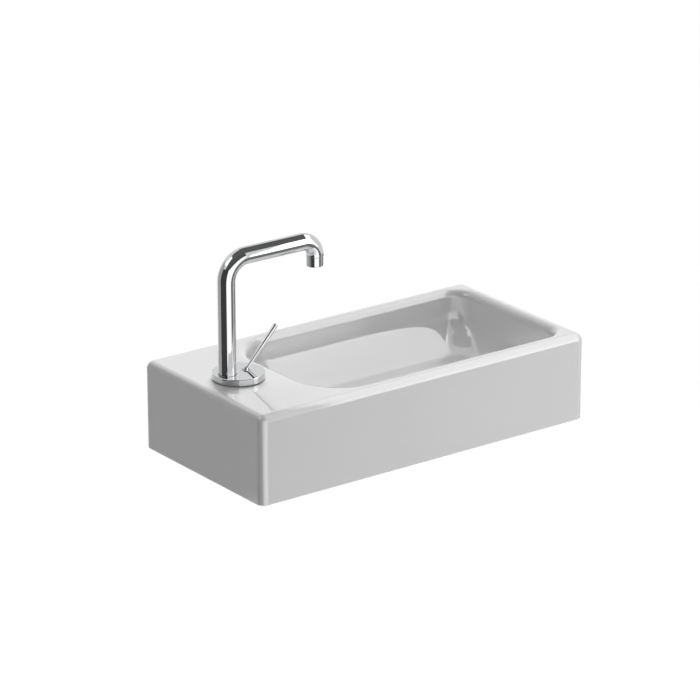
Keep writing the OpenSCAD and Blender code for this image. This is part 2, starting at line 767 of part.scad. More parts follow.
// The plug's cap: a low dome with a rounded edge
module plug_cap() {
    dome_r = (plug_r * plug_r + dome_h * dome_h) / (2 * dome_h);
    color("silver") translate(waste_at + [0, 0, plug_z]) union() {
        intersection() {
            translate([0, 0, plug_h - dome_r]) sphere(r = dome_r, $fn = 160);
            cylinder(r = plug_r, h = plug_h, $fn = 96);
        }
        translate([0, 0, -boss_h]) difference() {
            cylinder(r = cap_boss_r, h = boss_h + 1, $fn = 64);
            translate([0, 0, -1]) cylinder(r = stem_r + fit, h = boss_h + 1, $fn = 48);
        }
    }
}

basin_body();
tap_base();
base_seal();
valve_body();
clamp_seal();
clamp_washer();
clamp_nut();
spout_tube();
spout_spigot();
spout_slide_ring();
spout_seal_upper();
spout_seal_lower();
spout_stop_screw();
aerator_housing();
aerator_insert();
aerator_seal();
cartridge_body();
cartridge_nut();
fixed_disc();
turning_disc();
cartridge_rotor();
lever_ball();
lever_rod();
waste_body();
waste_gasket();
waste_seal();
waste_washer();
waste_nut();
plug_cage();
plug_stem();
plug_seal();
plug_cap();
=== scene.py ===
"""A small wall-hung hand basin in white glazed ceramic, with a chrome pin-lever tap."""
import json
from math import acos, asin, atan2, cos, pi, radians, sin, sqrt, tan

import bpy
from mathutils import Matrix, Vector
from mathutils.geometry import tessellate_polygon

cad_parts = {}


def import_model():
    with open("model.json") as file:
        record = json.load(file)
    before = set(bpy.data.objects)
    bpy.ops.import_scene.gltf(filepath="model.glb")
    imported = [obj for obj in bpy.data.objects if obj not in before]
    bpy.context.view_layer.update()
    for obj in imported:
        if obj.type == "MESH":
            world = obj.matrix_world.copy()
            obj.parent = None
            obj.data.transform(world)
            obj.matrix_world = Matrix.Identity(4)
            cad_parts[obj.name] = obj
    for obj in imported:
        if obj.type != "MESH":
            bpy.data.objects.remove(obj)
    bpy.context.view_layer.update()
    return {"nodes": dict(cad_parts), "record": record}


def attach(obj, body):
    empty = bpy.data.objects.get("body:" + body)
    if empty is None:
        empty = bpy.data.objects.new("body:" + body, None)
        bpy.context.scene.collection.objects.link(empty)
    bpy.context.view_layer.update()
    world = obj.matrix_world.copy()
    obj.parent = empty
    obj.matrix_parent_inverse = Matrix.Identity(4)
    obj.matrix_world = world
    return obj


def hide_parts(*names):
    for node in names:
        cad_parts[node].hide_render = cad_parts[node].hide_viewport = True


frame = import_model()
scene = bpy.context.scene

MM = 0.001
TINY = 1e-9
UP, DOWN = (0, 0, 1), (0, 0, -1)

# From here down to the lever: the source's own values, in millimetres from the frame's origin

# The ceramic's block
LEFT, RIGHT, FRONT, BACK = -250, 250, -250, 0
FOOT, RIM = -37, 78
EDGE_R, FOOT_EDGE_R = 10, 1.6
SKIRT, INNER_R = 12, 6
DECK_T, UNDER_FILLET = 11, 4
BOLTS, BOLT_R = (-140, 140), 7

# The bowl. GROWTH is what a corner's radius gains for each millimetre that its wall moves in,
# and LEAST_HALF what stays straight on each side of an end wall's middle.
WALL_L, WALL_R, WALL_F, WALL_B = -138, 229, -229, -21
BOWL_DEPTH, FLOOR_FALL, BOWL_T = 76, 3, 10
RIM_R, DRAFT = 10, radians(3)
FILLET_Y, FILLET_LEFT, FILLET_RIGHT = 62, 58, 40
CORNER_LEFT, CORNER_RIGHT = 62, 26
GROWTH_LEFT, GROWTH_RIGHT = 0.1, 0.5
LEAST_HALF = 0.5

# The waste's place in the bowl
WASTE, WASTE_HOLE_R = (45, -125), 22.5
DRAIN_R, DRAIN_Z, DRAIN_EDGE, SEAT_Z = 32.5, -1, 0.6, -3
BOSS_R, BOSS_Z = 34.5, -14

# The tap's base
TAP, TAP_HOLE_R = (-193, -123), 27
BASE_R, BASE_LOW, BASE_TOP = 32.5, 79, 87
RECESS_R, RECESS_TOP = 24.05, 82
SEAT_R, SEAT_DEEP, SPIGOT_HOLE = 11.6, 2.5, 7.35
LIP_R, LIP_T, NECK_HOLE = 4.75, 1.6, 7.35

# The spout and its aerator
SPOUT, TUBE_R, TUBE_BORE = (-209.5, -123), 11, 9.5
TUBE_LOW, RUN_Z, TUBE_END = 85.65, 233.5, 212.5
BEND_RISE, BEND_OUT, REACH = 29, 20, 132
AERATOR_R, AERATOR_LOW, AERATOR_TOP = 10.6, 199.7, 212.2

# The lever
LEVER, BALL_Z, BALL_R = (-182.5, -123), 86, 4.4
LEAN, LEVER_LEN = radians(43), 68.5
ROD_FOOT_R, ROD_TIP_R = 2.1, 3.4
TAIL_R, TAIL_LEN = 1.5, 10

# Mesh steps round each corner of a rounded rectangle and along each side of the bowl, and the
# number of the step that is the rectangle's back
CORNER_STEPS, SIDE_STEPS = 20, 14
BACK_STEP = CORNER_STEPS


# ---------------------------------------------------------------- mesh building

class Skin:
    """A mesh built up from strips and flat fills, each corner with its own exact normal."""

    def __init__(self):
        self.index, self.points, self.faces, self.normals = {}, [], [], []

    def point(self, p):
        """The number of a point. Points that agree to four decimals are one."""
        key = (round(p[0], 4), round(p[1], 4), round(p[2], 4))
        if key not in self.index:
            self.index[key] = len(self.points)
            self.points.append((p[0] * MM, p[1] * MM, p[2] * MM))
        return self.index[key]

    def face(self, corners, normals):
        """A face turned the way its normals point. One that has no area is left out."""
        ids = [self.point(p) for p in corners]
        keep = [k for k in range(len(ids)) if ids[k] not in ids[:k]]
        if len(keep) < 3:
            return
        corners = [Vector(corners[k]) for k in keep]
        normals = [Vector(normals[k]).normalized() for k in keep]
        ids = [ids[k] for k in keep]
        area = Vector()
        for k in range(len(corners)):
            area += (corners[k - 1] - corners[0]).cross(corners[k] - corners[0])
        if area.length < TINY:
            return
        if area.dot(sum(normals, Vector())) < 0:
            ids, normals = ids[::-1], normals[::-1]
        self.faces.append(ids)
        self.normals.extend(normals)

    def strip(self, rows, normals, closed=True, skip=None):
        """Faces between neighbouring rows of points, with one normal for each point. The step
        that skip names stays open."""
        n = len(rows[0])
        for j in range(len(rows) - 1):
            for i in range(n if closed else n - 1):
                if i == skip:
                    continue
                k = (i + 1) % n
                self.face([rows[j][i], rows[j][k], rows[j + 1][k], rows[j + 1][i]],
                          [normals[j][i], normals[j][k], normals[j + 1][k], normals[j + 1][i]])

    def fill(self, loops, normal):
        """A flat face inside the first loop and outside the others."""
        flat = [p for loop in loops for p in loop]
        for tri in tessellate_polygon([[Vector(p) for p in loop] for loop in loops]):
            self.face([flat[k] for k in tri], [normal] * 3)

    def make(self, name):
        mesh = bpy.data.meshes.new(name)
        mesh.from_pydata(self.points, [], self.faces)
        mesh.polygons.foreach_set("use_smooth", [True] * len(self.faces))
        mesh.update()
        mesh.normals_split_custom_set(self.normals)
        piece = bpy.data.objects.new(name, mesh)
        scene.collection.objects.link(piece)
        return piece


def outline(points, radii, steps=6):
    """Pieces of a path in the (r, z) plane, each a list of points and one of normals. The normals
    point to the right of the way the path goes. Each inner corner is rounded by its radius."""
    pts = [Vector(p) for p in points]
    ways = [(pts[k + 1] - pts[k]).normalized() for k in range(len(pts) - 1)]
    pieces, start = [], pts[0]
    for k, way in enumerate(ways):
        normal = Vector((way.y, -way.x))
        if k == len(ways) - 1 or not radii[k]:
            end = pts[k + 1]
            pieces.append(([start, end], [normal, normal]))
            start = end
            continue
        after = ways[k + 1]
        turn = atan2(way.x * after.y - way.y * after.x, way.dot(after))
        side = 1 if turn > 0 else -1
        back = radii[k] * tan(abs(turn) / 2)
        end = pts[k + 1] - way * back
        pieces.append(([start, end], [normal, normal]))
        centre = end - normal * radii[k] * side
        turned = []
        for i in range(steps + 1):
            a = turn * i / steps
            turned.append(Vector((normal.x * cos(a) - normal.y * sin(a),
                                  normal.x * sin(a) + normal.y * cos(a))))
        pieces.append(([centre + v * radii[k] * side for v in turned], turned))
        start = pts[k + 1] + after * back
    return pieces


def circle(at, r, z, n=96):
    return [(at[0] + r * cos(2 * pi * k / n), at[1] + r * sin(2 * pi * k / n), z)
            for k in range(n)]


def turn_on(skin, at, pieces, n=96, place=None):
    """Turns pieces of an outline about the upright axis through at, in n steps. place moves each
    point and each normal on, for turned forms that lean."""
    for points, normals in pieces:
        rows, ways = [], []
        for p, v in zip(points, normals):
            row = circle(at, p[0], p[1], n)
            way = circle((0, 0), v[0], v[1], n)
            if place:
                row, way = [place(q, True) for q in row], [place(q, False) for q in way]
            rows.append(row)
            ways.append(way)
        skin.strip(rows, ways)


def ring(left, right, front, back, left_r, right_r, z, side_steps=1):
    """Points of a rounded rectangle, and for each the angle of the way out. They start at the
    right and go round by the back."""
    points, angles = [], []
    for c in range(4):
        on_right = c in (0, 3)
        r = right_r if on_right else left_r
        x = right - r if on_right else left + r
        y = back - r if c < 2 else front + r
        for i in range(CORNER_STEPS + 1):
            a = radians(c * 90 + i * 90 / CORNER_STEPS)
            points.append((x + r * cos(a), y + r * sin(a), z))
            angles.append(a)
    full, turns = [], []
    for k, p in enumerate(points):
        full.append(p)
        turns.append(angles[k])
        if k % (CORNER_STEPS + 1) == CORNER_STEPS:
            q = points[(k + 1) % len(points)]
            for i in range(1, side_steps):
                full.append(tuple(p[j] + (q[j] - p[j]) * i / side_steps for j in range(3)))
                turns.append(angles[k])
    return full, turns


def rounded_edge(sides, corner_r, z, r, degrees, face, rise, inward=1):
    """Levels of a rounding or fillet of radius r along upright walls, and their normals. The
    walls' sides and corner radius hold at height z, at 0 degrees. face is 1 on the walls'
    outside and -1 on their inside. rise is 1 where the levels lie above z and -1 below it, and
    inward is 1 where they close in and -1 where they open out."""
    left, right, front, back = sides
    rows, ways = [], []
    for t in degrees:
        a = radians(t)
        move = inward * r * (1 - cos(a))
        row, turns = ring(left + move, right - move, front + move, back - move,
                          corner_r - move, corner_r - move, z + rise * r * sin(a))
        tilt = face * rise * inward * sin(a)
        rows.append(row)
        ways.append([(face * cos(a) * cos(b), face * cos(a) * sin(b), tilt) for b in turns])
    return rows, ways


# ---------------------------------------------------------------- the ceramic

def wall_inset(d, r, deep):
    """Inset of a bowl wall from the rim's edge at depth d: rounding, drafted wall, and a fillet
    of radius r that ends at depth deep."""
    rim_depth = RIM_R * (1 - sin(DRAFT))
    start = deep - r * (1 - sin(DRAFT))
    if d < rim_depth:
        return RIM_R * sin(acos(1 - max(0, d) / RIM_R))
    if d < start:
        return RIM_R * cos(DRAFT) + (d - rim_depth) * tan(DRAFT)
    return (RIM_R * cos(DRAFT) + (start - rim_depth) * tan(DRAFT)
            + r * (cos(DRAFT) - cos(asin(min(1, (d - deep + r) / r)))))


def bowl_ring(d, t, side_steps=SIDE_STEPS):
    """One level of the bowl at depth d, with its walls moved out by t. Its corners widen in the
    rim's rounding as the walls move out, and below it as they move in."""
    deep = BOWL_DEPTH + t
    inset_y, inset_l, inset_r = (wall_inset(d, fillet + t, deep) - RIM_R - t
                                 for fillet in (FILLET_Y, FILLET_LEFT, FILLET_RIGHT))
    half = (WALL_B - WALL_F) / 2 - inset_y - LEAST_HALF
    radii = []
    for corner, growth, inset in ((CORNER_LEFT, GROWTH_LEFT, inset_l),
                                  (CORNER_RIGHT, GROWTH_RIGHT, inset_r)):
        moved = inset + t
        radii.append(min(half, corner + t + (-moved if moved < 0 else growth * moved)))
    return ring(WALL_L + inset_l, WALL_R - inset_r, WALL_F + inset_y, WALL_B - inset_y,
                *radii, RIM - d, side_steps)


def bowl_level(d, t, side, step=0.01):
    """Points of a bowl level and the surface's normals there, from the slope over a small step.
    side is 1 on the bowl's inner face and -1 on its underside."""
    points, turns = bowl_ring(d, t)
    above = bowl_ring(max(0, d - step), t)[0]
    below = bowl_ring(min(BOWL_DEPTH + t, d + step), t)[0]
    normals = []
    for k, a in enumerate(turns):
        v = Vector((-sin(a), cos(a), 0)).cross(Vector(below[k]) - Vector(above[k]))
        if v.length < TINY:
            v = Vector(UP)
        outward = v.dot(Vector((cos(a), sin(a), 0)))
        if v.z * side < 0 or (abs(v.z) < TINY and outward * side > 0):
            v = -v
        normals.append(v.normalized())
    return points, normals


def round_waste(turns, r, z):
    """Points at radius r round the waste's axis, one in each of the directions turns."""
    return [(WASTE[0] + r * cos(a), WASTE[1] + r * sin(a), z) for a in turns]


def bowl_inside(skin):
    """The bowl's rounding, walls and fillet. Gives the loop where the floor begins."""
    mouth, lands = bowl_ring(0, 0)[0], bowl_ring(BOWL_DEPTH, 0)[0]
    # levels in the rim's rounding, where the slope changes fastest, on the wall, in the fillet
    levels = [bowl_level(RIM_R * (1 - cos(radians(t))), 0, 1, 0.002)
              for t in (4, 10, 17, 25, 33, 41, 50, 59, 68, 77, 87)]
    levels += [bowl_level(d, 0, 1) for d in (14, 19)]
    levels += [bowl_level(BOWL_DEPTH - FILLET_Y * (1 - sin(radians(t))), 0, 1)
               for t in range(6, 90, 3)]
    skin.strip([mouth] + [row for row, way in levels] + [lands],
               [[UP] * len(mouth)] + [way for row, way in levels] + [[UP] * len(lands)])
    return lands


def bowl_floor(skin, lands, turns):
    """The floor, which falls gently to the recess, then the recess, the waste hole and the boss
    below."""
    edge = round_waste(turns, DRAIN_R + DRAIN_EDGE, DRAIN_Z)
    steps = 16
    rows = []
    for j in range(steps + 1):
        s = j / steps
        z = RIM - BOWL_DEPTH - FLOOR_FALL * (1 - cos(pi * s)) / 2
        rows.append([(p[0] + (q[0] - p[0]) * s, p[1] + (q[1] - p[1]) * s, z)
                     for p, q in zip(lands, edge)])
    ways = []
    for j, row in enumerate(rows):
        way = []
        for k in range(len(row)):
            along = Vector(row[(k + 1) % len(row)]) - Vector(row[k - 1])
            out = Vector(rows[min(j + 1, steps)][k]) - Vector(rows[max(j - 1, 0)][k])
            v = along.cross(out)
            level = j in (0, steps) or v.length < TINY
            way.append(UP if level else (v if v.z > 0 else -v).normalized())
        ways.append(way)
    skin.strip(rows, ways)
    below = outline([(DRAIN_R + DRAIN_EDGE, DRAIN_Z), (DRAIN_R, DRAIN_Z), (DRAIN_R, SEAT_Z),
                     (WASTE_HOLE_R, SEAT_Z), (WASTE_HOLE_R, BOSS_Z), (BOSS_R, BOSS_Z),
                     (BOSS_R, RIM - BOWL_DEPTH - BOWL_T)], [DRAIN_EDGE, 0.4, 0.5, 0, 1.5], 4)
    for points, normals in below:
        skin.strip([round_waste(turns, p[0], p[1]) for p in points],
                   [[(v[0] * cos(a), v[0] * sin(a), v[1]) for a in turns] for v in normals])


def back_wall(skin, outer, inner):
    """The flat back and its bolt holes, from the high and the low ring of each of its faces."""
    def bolt_circle(x, y, n=32):
        return [(x + BOLT_R * cos(2 * pi * k / n), y, BOLT_R * sin(2 * pi * k / n))
                for k in range(n)]

    i, k = BACK_STEP, BACK_STEP + 1
    for (high, low), y, way in ((outer, BACK, (0, 1, 0)), (inner, BACK - SKIRT, (0, -1, 0))):
        holes = [bolt_circle(x, y) for x in BOLTS]
        skin.fill([[high[i], high[k], low[k], low[i]], *holes], way)
    for x in BOLTS:
        walls = [bolt_circle(x, BACK), bolt_circle(x, BACK - SKIRT)]
        way = [(x - p[0], 0, -p[2]) for p in walls[0]]
        skin.strip(walls, [way, way])


def bowl_underside(skin, turns):
    """The bowl's own underside, and the flat ring from it to the boss."""
    deep = BOWL_DEPTH + BOWL_T
    depths = [DECK_T, 14, 20]
    depths += [deep - (FILLET_Y + BOWL_T) * (1 - sin(radians(t))) for t in range(6, 90, 6)]
    flat = bowl_ring(deep, BOWL_T)[0]
    rows, ways = [], []
    for d in depths:
        row, way = bowl_level(d, BOWL_T, -1)
        rows.append(row)
        ways.append([(v[0], v[1], -abs(v[2])) for v in way])
    skin.strip(rows + [flat], ways + [[DOWN] * len(flat)])
    skin.strip([flat, round_waste(turns, BOSS_R, RIM - deep)], [[DOWN] * len(flat)] * 2)


def ceramic():
    """The whole basin: bowl, block, skirt, deck, back and underside."""
    skin = Skin()
    lands = bowl_inside(skin)
    turns = [atan2(p[1] - WASTE[1], p[0] - WASTE[0]) for p in lands]
    bowl_floor(skin, lands, turns)

    # the block's rounded upper edge, its walls and its rounded foot
    sides, foot_z = (LEFT, RIGHT, FRONT, BACK), FOOT + FOOT_EDGE_R
    rows, ways = rounded_edge(sides, EDGE_R, RIM - EDGE_R, EDGE_R, range(90, -1, -6), 1, 1)
    skin.strip(rows, ways)
    top, wall_high = rows[0], rows[-1]
    wall_low = [(p[0], p[1], foot_z) for p in wall_high]
    skin.strip([wall_high, wall_low], [ways[-1]] * 2, skip=BACK_STEP)
    rows, ways = rounded_edge(sides, EDGE_R, foot_z, FOOT_EDGE_R, range(0, 91, 18), 1, -1)
    skin.strip(rows, ways)
    foot_out = rows[-1]

    # the inner side of the skirt, with a fillet under the deck
    sides, under = (LEFT + SKIRT, RIGHT - SKIRT, FRONT + SKIRT, BACK - SKIRT), RIM - DECK_T
    rows, ways = rounded_edge(sides, INNER_R, foot_z, FOOT_EDGE_R, range(90, -1, -18), -1, -1, -1)
    skin.strip([foot_out, rows[0]], [[DOWN] * len(foot_out)] * 2)
    skin.strip(rows, ways)
    inner_low = rows[-1]
    rows, ways = rounded_edge(sides, INNER_R, under - UNDER_FILLET, UNDER_FILLET,
                              range(0, 91, 15), -1, 1)
    skin.strip(rows, ways)
    inner_high, inner_top = rows[0], rows[-1]
    skin.strip([inner_low, inner_high], [ways[0]] * 2, skip=BACK_STEP)

    # the deck's upper and lower faces, with the tap hole; the lower one ends in the bowl's wall
    mouth, below = bowl_ring(0, 0)[0], bowl_ring(DECK_T, BOWL_T / 2, 1)[0]
    skin.fill([top, mouth, circle(TAP, TAP_HOLE_R, RIM)], UP)
    skin.fill([inner_top, below, circle(TAP, TAP_HOLE_R, under)], DOWN)
    turn_on(skin, TAP, outline([(TAP_HOLE_R, RIM), (TAP_HOLE_R, under)], []))

    back_wall(skin, (wall_high, wall_low), (inner_high, inner_low))
    bowl_underside(skin, turns)
    return skin.make("basin_ceramic")


# ---------------------------------------------------------------- the tap and the waste

def base_plate():
    """The round base: soft upper edge, the spout's seat and the lever's opening."""
    skin = Skin()
    rim_steps, seat_steps, lip_steps = 192, 128, 96
    soft, flat_r = 0.3, BASE_R - 1.6
    body = outline([(RECESS_R, RECESS_TOP), (RECESS_R, BASE_LOW), (BASE_R, BASE_LOW),
                    (BASE_R, BASE_TOP), (flat_r, BASE_TOP)], [0.2, 0.4, 0.9], 8)
    turn_on(skin, TAP, body, rim_steps)
    seat_z, lip_z = BASE_TOP - SEAT_DEEP, BASE_TOP - LIP_T
    seat = outline([(SEAT_R + soft, BASE_TOP), (SEAT_R, BASE_TOP), (SEAT_R, seat_z),
                    (SPIGOT_HOLE, seat_z), (SPIGOT_HOLE, RECESS_TOP)], [soft, 0.3, 0], 5)
    turn_on(skin, SPOUT, seat, seat_steps)
    lip = outline([(LIP_R + soft, BASE_TOP), (LIP_R, BASE_TOP), (LIP_R, lip_z),
                   (NECK_HOLE, lip_z), (NECK_HOLE, RECESS_TOP)], [soft, 0, 0], 5)
    turn_on(skin, LEVER, lip, lip_steps)
    for z, plate_r, seat_r, lip_r, way in ((BASE_TOP, flat_r, SEAT_R + soft, LIP_R + soft, UP),
                                           (RECESS_TOP, RECESS_R, SPIGOT_HOLE, NECK_HOLE, DOWN)):
        skin.fill([circle(TAP, plate_r, z, rim_steps), circle(SPOUT, seat_r, z, seat_steps),
                   circle(LEVER, lip_r, z, lip_steps)], way)
    return skin.make("tap_base_plate")


def spout():
    """The tube along its route, with rounded ends and its bore."""
    skin = Skin()
    x, y = SPOUT
    n, end_r, rise_steps, out_steps = 96, 0.3, 40, 36
    # points of the route, each with its heading in degrees up from the x axis
    route = [((x, y, z), 90) for z in (TUBE_LOW + end_r, 110, 140, 170, RUN_Z - BEND_RISE)]
    for k in range(1, rise_steps + 1):
        heading = 90 - 90 * k / rise_steps
        a = radians(heading)
        route.append(((x + BEND_RISE - BEND_RISE * sin(a), y,
                       RUN_Z - BEND_RISE + BEND_RISE * cos(a)), heading))
    for s in (0.25, 0.5, 0.75, 1):
        route.append(((x + BEND_RISE + s * (REACH - BEND_RISE - BEND_OUT), y, RUN_Z), 0))
    for k in range(1, out_steps + 1):
        fall = 90 * k / out_steps
        a = radians(fall)
        route.append(((x + REACH - BEND_OUT + BEND_OUT * sin(a), y,
                       RUN_Z - BEND_OUT + BEND_OUT * cos(a)), -fall))
    route.append(((x + REACH, y, TUBE_END + end_r), -90))
    for r, way in ((TUBE_R, 1), (TUBE_BORE, -1)):
        rows, ways = [], []
        for p, heading in route:
            a = radians(heading)
            across = Vector((-sin(a), 0, cos(a)))
            spokes = [Vector((0, 1, 0)) * cos(2 * pi * k / n) + across * sin(2 * pi * k / n)
                      for k in range(n)]
            rows.append([tuple(Vector(p) + v * r) for v in spokes])
            ways.append([tuple(v * way) for v in spokes])
        skin.strip(rows, ways)
    for at, z in ((SPOUT, TUBE_LOW), ((x + REACH, y), TUBE_END)):
        end = outline([(TUBE_BORE, z + end_r), (TUBE_BORE, z), (TUBE_R, z), (TUBE_R, z + end_r)],
                      [0.25, end_r], 4)
        turn_on(skin, at, end, n)
    return skin.make("spout_pipe")


def aerator():
    """The sleeve at the spout's end: a bore with a ledge for the insert, and a collar that
    reaches into the tube."""
    skin = Skin()
    bore, ledge_z = AERATOR_R - 2.4, AERATOR_TOP - 2
    ledge_r = bore - 1
    collar_r, collar_z = TUBE_BORE - 0.05, AERATOR_TOP + 1.3
    sleeve = outline([(ledge_r, collar_z), (ledge_r, ledge_z), (bore, ledge_z),
                      (bore, AERATOR_LOW), (AERATOR_R, AERATOR_LOW), (AERATOR_R, AERATOR_TOP),
                      (collar_r, AERATOR_TOP), (collar_r, collar_z), (ledge_r, collar_z)],
                     [0, 0, 0.4, 0.7, 0.25, 0, 0], 5)
    turn_on(skin, (SPOUT[0] + REACH, SPOUT[1]), sleeve)
    return skin.make("aerator_sleeve")


def lever():
    """The pin lever: its ball and tail, a tapered rod and a rounded tip."""
    skin = Skin()
    centre, rod_steps = (0, 0), 64

    def stand(q, is_point):
        return (q[0] + LEVER[0], q[1] + LEVER[1], q[2] + BALL_Z) if is_point else q

    def lean(q, is_point):
        x, y, z = q
        return stand((x * cos(LEAN) + z * sin(LEAN), y, z * cos(LEAN) - x * sin(LEAN)), is_point)

    # the ball, from its tail up to the rod
    low = asin(TAIL_R / BALL_R)
    ball = [Vector((sin(a), -cos(a))) for a in [low + (pi - low) * k / 40 for k in range(41)]]
    turn_on(skin, centre, [([v * BALL_R for v in ball], ball)], rod_steps, stand)
    tail = outline([(0, -TAIL_LEN), (TAIL_R, -TAIL_LEN), (TAIL_R, -BALL_R * cos(low))], [0.5], 4)
    turn_on(skin, centre, tail, 32, stand)

    # the rod starts inside the ball, with a small fillet where it leaves it
    tilt = atan2(ROD_TIP_R - ROD_FOOT_R, LEVER_LEN - ROD_TIP_R - BALL_R)
    side = Vector((cos(tilt), -sin(tilt)))
    fillet, sunk = 1.0, 0.62
    first_r, first_z = ROD_FOOT_R + 0.02, BALL_R + 1.2
    last_r, last_z = ROD_TIP_R * cos(tilt), LEVER_LEN - ROD_TIP_R - ROD_TIP_R * sin(tilt)
    rod, ways = [], []
    for k in range(7):
        a = radians(60 * k / 6)
        rod.append(Vector((ROD_FOOT_R + fillet - fillet * sin(a),
                           BALL_R - sunk + fillet - fillet * cos(a))))
        ways.append(Vector((sin(a), cos(a))))
    rod.append(Vector((first_r, first_z)))
    ways.append(side)
    turn_on(skin, centre, [(rod, ways)], rod_steps, lean)
    shaft = [Vector((first_r + (last_r - first_r) * k / 8, first_z + (last_z - first_z) * k / 8))
             for k in range(9)]
    turn_on(skin, centre, [(shaft, [side] * 9)], rod_steps, lean)
    tip = [Vector((cos(a), sin(a))) for a in [-tilt + (pi / 2 + tilt) * k / 16 for k in range(17)]]
    dome = [v * ROD_TIP_R + Vector((0, LEVER_LEN - ROD_TIP_R)) for v in tip]
    turn_on(skin, centre, [(dome, tip)], rod_steps, lean)
    return skin.make("lever_pin")


def plug():
    """The plug's cap: a low dome with a rounded edge, and the boss below it."""
    skin = Skin()
    low, edge, high, rise = 0.35, 1.95, 5.35, 3
    cap_r, boss_r, boss_bore, boss_t = 29, 12.9, 5.1, 2.2
    turn_on(skin, WASTE, outline([(boss_r, low), (cap_r, low), (cap_r, edge)], [0.5], 5), 128)

    # the dome starts a little inside the edge, and a curve joins them
    dome_r = (cap_r * cap_r + rise * rise) / (2 * rise)
    start = asin((cap_r - 0.8) / dome_r)
    cap = [Vector((sin(a), cos(a))) for a in [start - start * k / 24 for k in range(25)]]
    crown = [v * dome_r + Vector((0, high - dome_r)) for v in cap]
    first, last = Vector((cap_r, edge)), crown[0]
    mid = Vector((cap_r, last.y))
    points, ways = [], []
    for k in range(9):
        s = k / 8
        points.append(first * (1 - s) ** 2 + mid * 2 * s * (1 - s) + last * s * s)
        ways.append((Vector((1, 0)) * (1 - s) + cap[0] * s).normalized())
    turn_on(skin, WASTE, [(points, ways), (crown, cap)], 128)
    boss = outline([(boss_bore, low - boss_t), (boss_r, low - boss_t), (boss_r, low)], [0.4], 4)
    turn_on(skin, WASTE, boss)
    return skin.make("plug_dome")


# ---------------------------------------------------------------- materials

class Nodes:
    """A short way to write a node material."""

    def __init__(self, name):
        self.mat = bpy.data.materials.new(name)
        self.mat.use_nodes = True
        self.tree = self.mat.node_tree
        self.tree.nodes.clear()
        self.shader = self.add("ShaderNodeBsdfPrincipled")
        self.link(self.shader.outputs[0], self.add("ShaderNodeOutputMaterial").inputs["Surface"])
        self.place = self.add("ShaderNodeTexCoord").outputs["Object"]

    def add(self, kind, **sockets):
        node = self.tree.nodes.new(kind)
        for key, value in sockets.items():
            node.inputs[key.replace("_", " ")].default_value = value
        return node

    def link(self, a, b):
        self.tree.links.new(a, b)

    def noise(self, scale, detail=2.0, rough=0.5, stretch=None):
        node = self.add("ShaderNodeTexNoise", Scale=scale, Detail=detail, Roughness=rough)
        place = self.place
        if stretch:
            mapping = self.add("ShaderNodeMapping", Scale=stretch)
            self.link(place, mapping.inputs["Vector"])
            place = mapping.outputs["Vector"]
        self.link(place, node.inputs["Vector"])
        return node.outputs["Fac"]

    def ramp(self, value, low, high, start=0.0, end=1.0):
        """From low to high while the value goes from start to end."""
        node = self.add("ShaderNodeMapRange", From_Min=start, From_Max=end,
                        To_Min=low, To_Max=high)
        self.link(value, node.inputs["Value"])
        return node.outputs["Result"]

    def blend(self, value, a, b):
        """From colour a to colour b while the value goes from 0 to 1."""
        node = self.add("ShaderNodeMix")
        node.data_type = "RGBA"
        self.link(value, node.inputs["Factor"])
        for socket, colour in ((node.inputs[6], a), (node.inputs[7], b)):
            if isinstance(colour, tuple):
                socket.default_value = (*colour, 1)
            else:
                self.link(colour, socket)
        return node.outputs[2]

    def math(self, kind, a, b=None):
        node = self.add("ShaderNodeMath")
        node.operation = kind
        for socket, value in zip(node.inputs, (a, b)):
            if isinstance(value, (int, float)):
                socket.default_value = value
            elif value is not None:
                self.link(value, socket)
        return node.outputs[0]

    def bump(self, height, strength, distance):
        node = self.add("ShaderNodeBump", Strength=strength, Distance=distance)
        self.link(height, node.inputs["Height"])
        self.link(node.outputs[0], self.shader.inputs["Normal"])

    def set(self, **sockets):
        for key, value in sockets.items():
            socket = self.shader.inputs[key.replace("_", " ")]
            if isinstance(value, bpy.types.NodeSocket):
                self.link(value, socket)
            else:
                socket.default_value = value

    def axis(self, name):
        node = self.add("ShaderNodeSeparateXYZ")
        self.link(self.place, node.inputs[0])
        return node.outputs[name]


def glaze():
    """White glaze with a faint cloudiness and waviness. The back face, the foot's underside and a
    thin uneven margin beside the wall stay unglazed."""
    t = Nodes("white_glaze")
    uneven, glazed_y, bare_y = 0.0009, -0.0016, -0.0006
    bare_z, glazed_z = FOOT * MM + 0.0002, FOOT * MM + 0.0008
    tone = t.blend(t.noise(6, 3), (0.795, 0.795, 0.793), (0.825, 0.826, 0.824))
    clay = t.blend(t.noise(1500, 4, 0.7), (0.60, 0.575, 0.53), (0.72, 0.70, 0.66))
    ragged = t.math("ADD", t.axis("Y"), t.ramp(t.noise(90, 3), -uneven, uneven))
    back = t.ramp(ragged, 0.0, 1.0, glazed_y, bare_y)
    under = t.ramp(t.axis("Z"), 1.0, 0.0, bare_z, glazed_z)
    bare = t.math("MAXIMUM", back, under)
    gloss = t.ramp(t.noise(25, 4), 0.035, 0.075)
    t.set(Base_Color=t.blend(bare, tone, clay), IOR=2.0,
          Roughness=t.math("ADD", t.math("MULTIPLY", bare, 0.6), gloss))
    wave = t.math("ADD", t.math("MULTIPLY", t.noise(14, 2), 0.6),
                  t.math("MULTIPLY", t.noise(240, 3), 0.05))
    pores = t.math("MULTIPLY", t.math("MULTIPLY", bare, t.noise(2400, 3, 0.8)), 0.6)
    t.bump(t.math("ADD", wave, pores), 0.25, 0.0003)
    return t.mat


